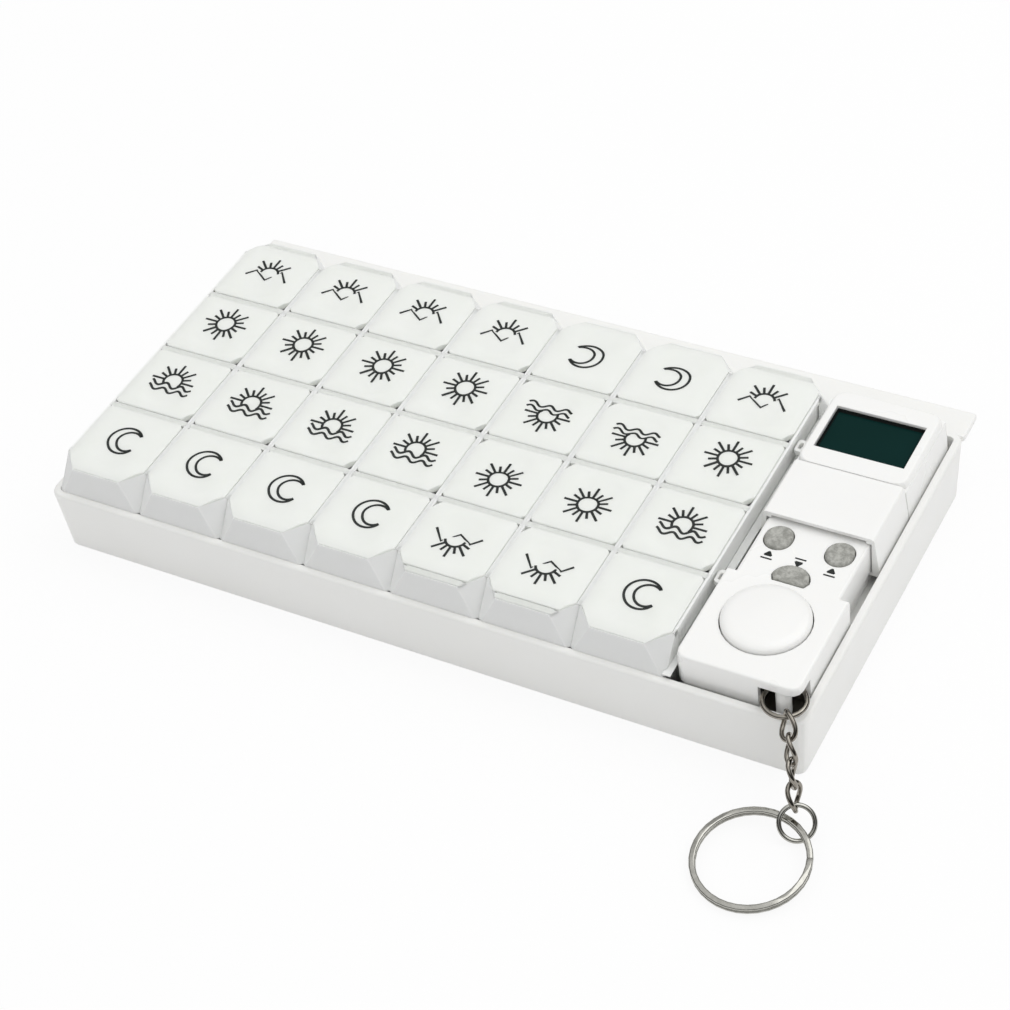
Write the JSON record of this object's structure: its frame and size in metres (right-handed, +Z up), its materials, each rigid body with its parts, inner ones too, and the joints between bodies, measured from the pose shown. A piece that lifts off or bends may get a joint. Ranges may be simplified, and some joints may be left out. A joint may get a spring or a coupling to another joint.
{
  "type": "electronic pill organizer",
  "caption": "Shallow tray of lift-out strips of lidded pill cells, with a docked timer fob that has a sliding cover, press buttons, a display and a key chain.",
  "frame": {"origin": "centre of the tray's footprint, at table height", "axes": "+X along the tray towards the fob, +Y to the rear ledge, +Z up"},
  "size_m": [0.2347, 0.1613, 0.0298],
  "materials": {
    "white_tray": "satin white styrene",
    "frosted_strip": "frosted translucent polypropylene",
    "frosted_lid": "frosted translucent polypropylene, printed",
    "white_case": "satin white ABS",
    "display_window": "dark green clear window over the display",
    "display_module": "liquid crystal cell",
    "grey_rubber": "matt grey rubber",
    "circuit_board": "green laminate",
    "buzzer": "black plastic",
    "nickel": "bright nickel plate"
  },
  "bodies": {
    "tray": {"tray": "white_tray"},
    "strip_1": {"strip_1": "frosted_strip"},
    "lid_1_1": {"lid_1_1": "frosted_lid"},
    "lid_1_2": {"lid_1_2": "frosted_lid"},
    "lid_1_3": {"lid_1_3": "frosted_lid"},
    "lid_1_4": {"lid_1_4": "frosted_lid"},
    "strip_2": {"strip_2": "frosted_strip"},
    "lid_2_1": {"lid_2_1": "frosted_lid"},
    "lid_2_2": {"lid_2_2": "frosted_lid"},
    "lid_2_3": {"lid_2_3": "frosted_lid"},
    "lid_2_4": {"lid_2_4": "frosted_lid"},
    "strip_3": {"strip_3": "frosted_strip"},
    "lid_3_1": {"lid_3_1": "frosted_lid"},
    "lid_3_2": {"lid_3_2": "frosted_lid"},
    "lid_3_3": {"lid_3_3": "frosted_lid"},
    "lid_3_4": {"lid_3_4": "frosted_lid"},
    "strip_4": {"strip_4": "frosted_strip"},
    "lid_4_1": {"lid_4_1": "frosted_lid"},
    "lid_4_2": {"lid_4_2": "frosted_lid"},
    "lid_4_3": {"lid_4_3": "frosted_lid"},
    "lid_4_4": {"lid_4_4": "frosted_lid"},
    "strip_5": {"strip_5": "frosted_strip"},
    "lid_5_1": {"lid_5_1": "frosted_lid"},
    "lid_5_2": {"lid_5_2": "frosted_lid"},
    "lid_5_3": {"lid_5_3": "frosted_lid"},
    "lid_5_4": {"lid_5_4": "frosted_lid"},
    "strip_6": {"strip_6": "frosted_strip"},
    "lid_6_1": {"lid_6_1": "frosted_lid"},
    "lid_6_2": {"lid_6_2": "frosted_lid"},
    "lid_6_3": {"lid_6_3": "frosted_lid"},
    "lid_6_4": {"lid_6_4": "frosted_lid"},
    "strip_7": {"strip_7": "frosted_strip"},
    "lid_7_1": {"lid_7_1": "frosted_lid"},
    "lid_7_2": {"lid_7_2": "frosted_lid"},
    "lid_7_3": {"lid_7_3": "frosted_lid"},
    "lid_7_4": {"lid_7_4": "frosted_lid"},
    "fob": {"fob_base": "white_case", "fob_face": "white_case", "display_window": "display_window", "display_module": "display_module", "circuit_board": "circuit_board", "coin_cell": "nickel", "buzzer": "buzzer", "case_screw_1": "nickel", "case_screw_2": "nickel"},
    "slide_cover": {"slide_cover": "white_case"},
    "hour_button": {"hour_button": "grey_rubber"},
    "minute_button": {"minute_button": "grey_rubber"},
    "set_button": {"set_button": "grey_rubber"},
    "dome_button": {"dome_button": "white_case"},
    "battery_door": {"battery_door": "white_case"},
    "corner_ring": {"corner_ring": "nickel"},
    "chain_link_1": {"chain_link_1": "nickel"},
    "chain_link_2": {"chain_link_2": "nickel"},
    "chain_link_3": {"chain_link_3": "nickel"},
    "chain_link_4": {"chain_link_4": "nickel"},
    "jump_ring": {"jump_ring": "nickel"},
    "split_ring": {"split_ring": "nickel"}
  },
  "joints": [
    {"name": "strip_1_lift", "type": "slide", "parent": "tray", "child": "strip_1", "axis": [0, 0, 1], "range_m": [0, 0.045]},
    {"name": "lid_1_1_hinge", "type": "hinge", "parent": "strip_1", "child": "lid_1_1", "pos_m": [-0.0952, 0.0502, 0.0289], "axis": [-1, 0, 0], "range_deg": [0, 100]},
    {"name": "lid_1_2_hinge", "type": "hinge", "parent": "strip_1", "child": "lid_1_2", "pos_m": [-0.0952, 0.02485, 0.0289], "axis": [-1, 0, 0], "range_deg": [0, 100]},
    {"name": "lid_1_3_hinge", "type": "hinge", "parent": "strip_1", "child": "lid_1_3", "pos_m": [-0.0952, -0.0005, 0.0289], "axis": [-1, 0, 0], "range_deg": [0, 100]},
    {"name": "lid_1_4_hinge", "type": "hinge", "parent": "strip_1", "child": "lid_1_4", "pos_m": [-0.0952, -0.02585, 0.0289], "axis": [-1, 0, 0], "range_deg": [0, 100]},
    {"name": "strip_2_lift", "type": "slide", "parent": "tray", "child": "strip_2", "axis": [0, 0, 1], "range_m": [0, 0.045]},
    {"name": "lid_2_1_hinge", "type": "hinge", "parent": "strip_2", "child": "lid_2_1", "pos_m": [-0.0692, 0.0502, 0.0289], "axis": [-1, 0, 0], "range_deg": [0, 100]},
    {"name": "lid_2_2_hinge", "type": "hinge", "parent": "strip_2", "child": "lid_2_2", "pos_m": [-0.0692, 0.02485, 0.0289], "axis": [-1, 0, 0], "range_deg": [0, 100]},
    {"name": "lid_2_3_hinge", "type": "hinge", "parent": "strip_2", "child": "lid_2_3", "pos_m": [-0.0692, -0.0005, 0.0289], "axis": [-1, 0, 0], "range_deg": [0, 100]},
    {"name": "lid_2_4_hinge", "type": "hinge", "parent": "strip_2", "child": "lid_2_4", "pos_m": [-0.0692, -0.02585, 0.0289], "axis": [-1, 0, 0], "range_deg": [0, 100]},
    {"name": "strip_3_lift", "type": "slide", "parent": "tray", "child": "strip_3", "axis": [0, 0, 1], "range_m": [0, 0.045]},
    {"name": "lid_3_1_hinge", "type": "hinge", "parent": "strip_3", "child": "lid_3_1", "pos_m": [-0.0432, 0.0502, 0.0289], "axis": [-1, 0, 0], "range_deg": [0, 100]},
    {"name": "lid_3_2_hinge", "type": "hinge", "parent": "strip_3", "child": "lid_3_2", "pos_m": [-0.0432, 0.02485, 0.0289], "axis": [-1, 0, 0], "range_deg": [0, 100]},
    {"name": "lid_3_3_hinge", "type": "hinge", "parent": "strip_3", "child": "lid_3_3", "pos_m": [-0.0432, -0.0005, 0.0289], "axis": [-1, 0, 0], "range_deg": [0, 100]},
    {"name": "lid_3_4_hinge", "type": "hinge", "parent": "strip_3", "child": "lid_3_4", "pos_m": [-0.0432, -0.02585, 0.0289], "axis": [-1, 0, 0], "range_deg": [0, 100]},
    {"name": "strip_4_lift", "type": "slide", "parent": "tray", "child": "strip_4", "axis": [0, 0, 1], "range_m": [0, 0.045]},
    {"name": "lid_4_1_hinge", "type": "hinge", "parent": "strip_4", "child": "lid_4_1", "pos_m": [-0.0172, 0.0502, 0.0289], "axis": [-1, 0, 0], "range_deg": [0, 100]},
    {"name": "lid_4_2_hinge", "type": "hinge", "parent": "strip_4", "child": "lid_4_2", "pos_m": [-0.0172, 0.02485, 0.0289], "axis": [-1, 0, 0], "range_deg": [0, 100]},
    {"name": "lid_4_3_hinge", "type": "hinge", "parent": "strip_4", "child": "lid_4_3", "pos_m": [-0.0172, -0.0005, 0.0289], "axis": [-1, 0, 0], "range_deg": [0, 100]},
    {"name": "lid_4_4_hinge", "type": "hinge", "parent": "strip_4", "child": "lid_4_4", "pos_m": [-0.0172, -0.02585, 0.0289], "axis": [-1, 0, 0], "range_deg": [0, 100]},
    {"name": "strip_5_lift", "type": "slide", "parent": "tray", "child": "strip_5", "axis": [0, 0, 1], "range_m": [0, 0.045]},
    {"name": "lid_5_1_hinge", "type": "hinge", "parent": "strip_5", "child": "lid_5_1", "pos_m": [0.0088, -0.0492, 0.0289], "axis": [1, 0, 0], "range_deg": [0, 100]},
    {"name": "lid_5_2_hinge", "type": "hinge", "parent": "strip_5", "child": "lid_5_2", "pos_m": [0.0088, -0.02385, 0.0289], "axis": [1, 0, 0], "range_deg": [0, 100]},
    {"name": "lid_5_3_hinge", "type": "hinge", "parent": "strip_5", "child": "lid_5_3", "pos_m": [0.0088, 0.0015, 0.0289], "axis": [1, 0, 0], "range_deg": [0, 100]},
    {"name": "lid_5_4_hinge", "type": "hinge", "parent": "strip_5", "child": "lid_5_4", "pos_m": [0.0088, 0.02685, 0.0289], "axis": [1, 0, 0], "range_deg": [0, 100]},
    {"name": "strip_6_lift", "type": "slide", "parent": "tray", "child": "strip_6", "axis": [0, 0, 1], "range_m": [0, 0.045]},
    {"name": "lid_6_1_hinge", "type": "hinge", "parent": "strip_6", "child": "lid_6_1", "pos_m": [0.0348, -0.0492, 0.0289], "axis": [1, 0, 0], "range_deg": [0, 100]},
    {"name": "lid_6_2_hinge", "type": "hinge", "parent": "strip_6", "child": "lid_6_2", "pos_m": [0.0348, -0.02385, 0.0289], "axis": [1, 0, 0], "range_deg": [0, 100]},
    {"name": "lid_6_3_hinge", "type": "hinge", "parent": "strip_6", "child": "lid_6_3", "pos_m": [0.0348, 0.0015, 0.0289], "axis": [1, 0, 0], "range_deg": [0, 100]},
    {"name": "lid_6_4_hinge", "type": "hinge", "parent": "strip_6", "child": "lid_6_4", "pos_m": [0.0348, 0.02685, 0.0289], "axis": [1, 0, 0], "range_deg": [0, 100]},
    {"name": "strip_7_lift", "type": "slide", "parent": "tray", "child": "strip_7", "axis": [0, 0, 1], "range_m": [0, 0.045]},
    {"name": "lid_7_1_hinge", "type": "hinge", "parent": "strip_7", "child": "lid_7_1", "pos_m": [0.0608, 0.0502, 0.0289], "axis": [-1, 0, 0], "range_deg": [0, 100]},
    {"name": "lid_7_2_hinge", "type": "hinge", "parent": "strip_7", "child": "lid_7_2", "pos_m": [0.0608, 0.02485, 0.0289], "axis": [-1, 0, 0], "range_deg": [0, 100]},
    {"name": "lid_7_3_hinge", "type": "hinge", "parent": "strip_7", "child": "lid_7_3", "pos_m": [0.0608, -0.0005, 0.0289], "axis": [-1, 0, 0], "range_deg": [0, 100]},
    {"name": "lid_7_4_hinge", "type": "hinge", "parent": "strip_7", "child": "lid_7_4", "pos_m": [0.0608, -0.02585, 0.0289], "axis": [-1, 0, 0], "range_deg": [0, 100]},
    {"name": "fob_lift", "type": "slide", "parent": "tray", "child": "fob", "axis": [0, 0, 1], "range_m": [0, 0.03]},
    {"name": "cover_slide", "type": "slide", "parent": "fob", "child": "slide_cover", "axis": [0, -1, 0], "range_m": [0, 0.019]},
    {"name": "hour_button_press", "type": "slide", "parent": "fob", "child": "hour_button", "axis": [0, 0, -1], "range_m": [0, 0.0006], "stiffness_N_per_m": 600},
    {"name": "minute_button_press", "type": "slide", "parent": "fob", "child": "minute_button", "axis": [0, 0, -1], "range_m": [0, 0.0006], "stiffness_N_per_m": 600},
    {"name": "set_button_press", "type": "slide", "parent": "fob", "child": "set_button", "axis": [0, 0, -1], "range_m": [0, 0.0006], "stiffness_N_per_m": 600},
    {"name": "dome_button_press", "type": "slide", "parent": "fob", "child": "dome_button", "axis": [0, 0, -1], "range_m": [0, 0.0006], "stiffness_N_per_m": 900},
    {"name": "battery_door_turn", "type": "hinge", "parent": "fob", "child": "battery_door", "pos_m": [0.09205, -0.022, 0.0133], "axis": [0, 0, 1], "range_deg": [0, 45]},
    {"name": "corner_ring_swing", "type": "hinge", "parent": "fob", "child": "corner_ring", "pos_m": [0.1034, -0.0487, 0.02295], "axis": [0, 0, 1], "range_deg": [-12, 8]},
    {"name": "chain_link_1_swing", "type": "hinge", "parent": "corner_ring", "child": "chain_link_1", "pos_m": [0.10683, -0.05487, 0.02328], "axis": [-0.8742, -0.4856, 0], "range_deg": [-3, 20]},
    {"name": "chain_link_2_swing", "type": "hinge", "parent": "chain_link_1", "child": "chain_link_2", "pos_m": [0.10945, -0.0596, 0.02116], "axis": [-0.8742, -0.4856, 0], "range_deg": [-3, 20]},
    {"name": "chain_link_3_swing", "type": "hinge", "parent": "chain_link_2", "child": "chain_link_3", "pos_m": [0.11126, -0.06285, 0.01669], "axis": [-0.8742, -0.4856, 0], "range_deg": [-3, 20]},
    {"name": "chain_link_4_swing", "type": "hinge", "parent": "chain_link_3", "child": "chain_link_4", "pos_m": [0.11264, -0.06534, 0.01164], "axis": [-0.8742, -0.4856, 0], "range_deg": [-3, 20]},
    {"name": "jump_ring_swing", "type": "hinge", "parent": "chain_link_4", "child": "jump_ring", "pos_m": [0.11405, -0.06787, 0.00662], "axis": [-0.8742, -0.4856, 0], "range_deg": [-6, 20]},
    {"name": "split_ring_swing", "type": "hinge", "parent": "jump_ring", "child": "split_ring", "pos_m": [0.11566, -0.07077, 0.00346], "axis": [-0.8746, 0.4848, 0], "range_deg": [0, 30]}
  ]
}
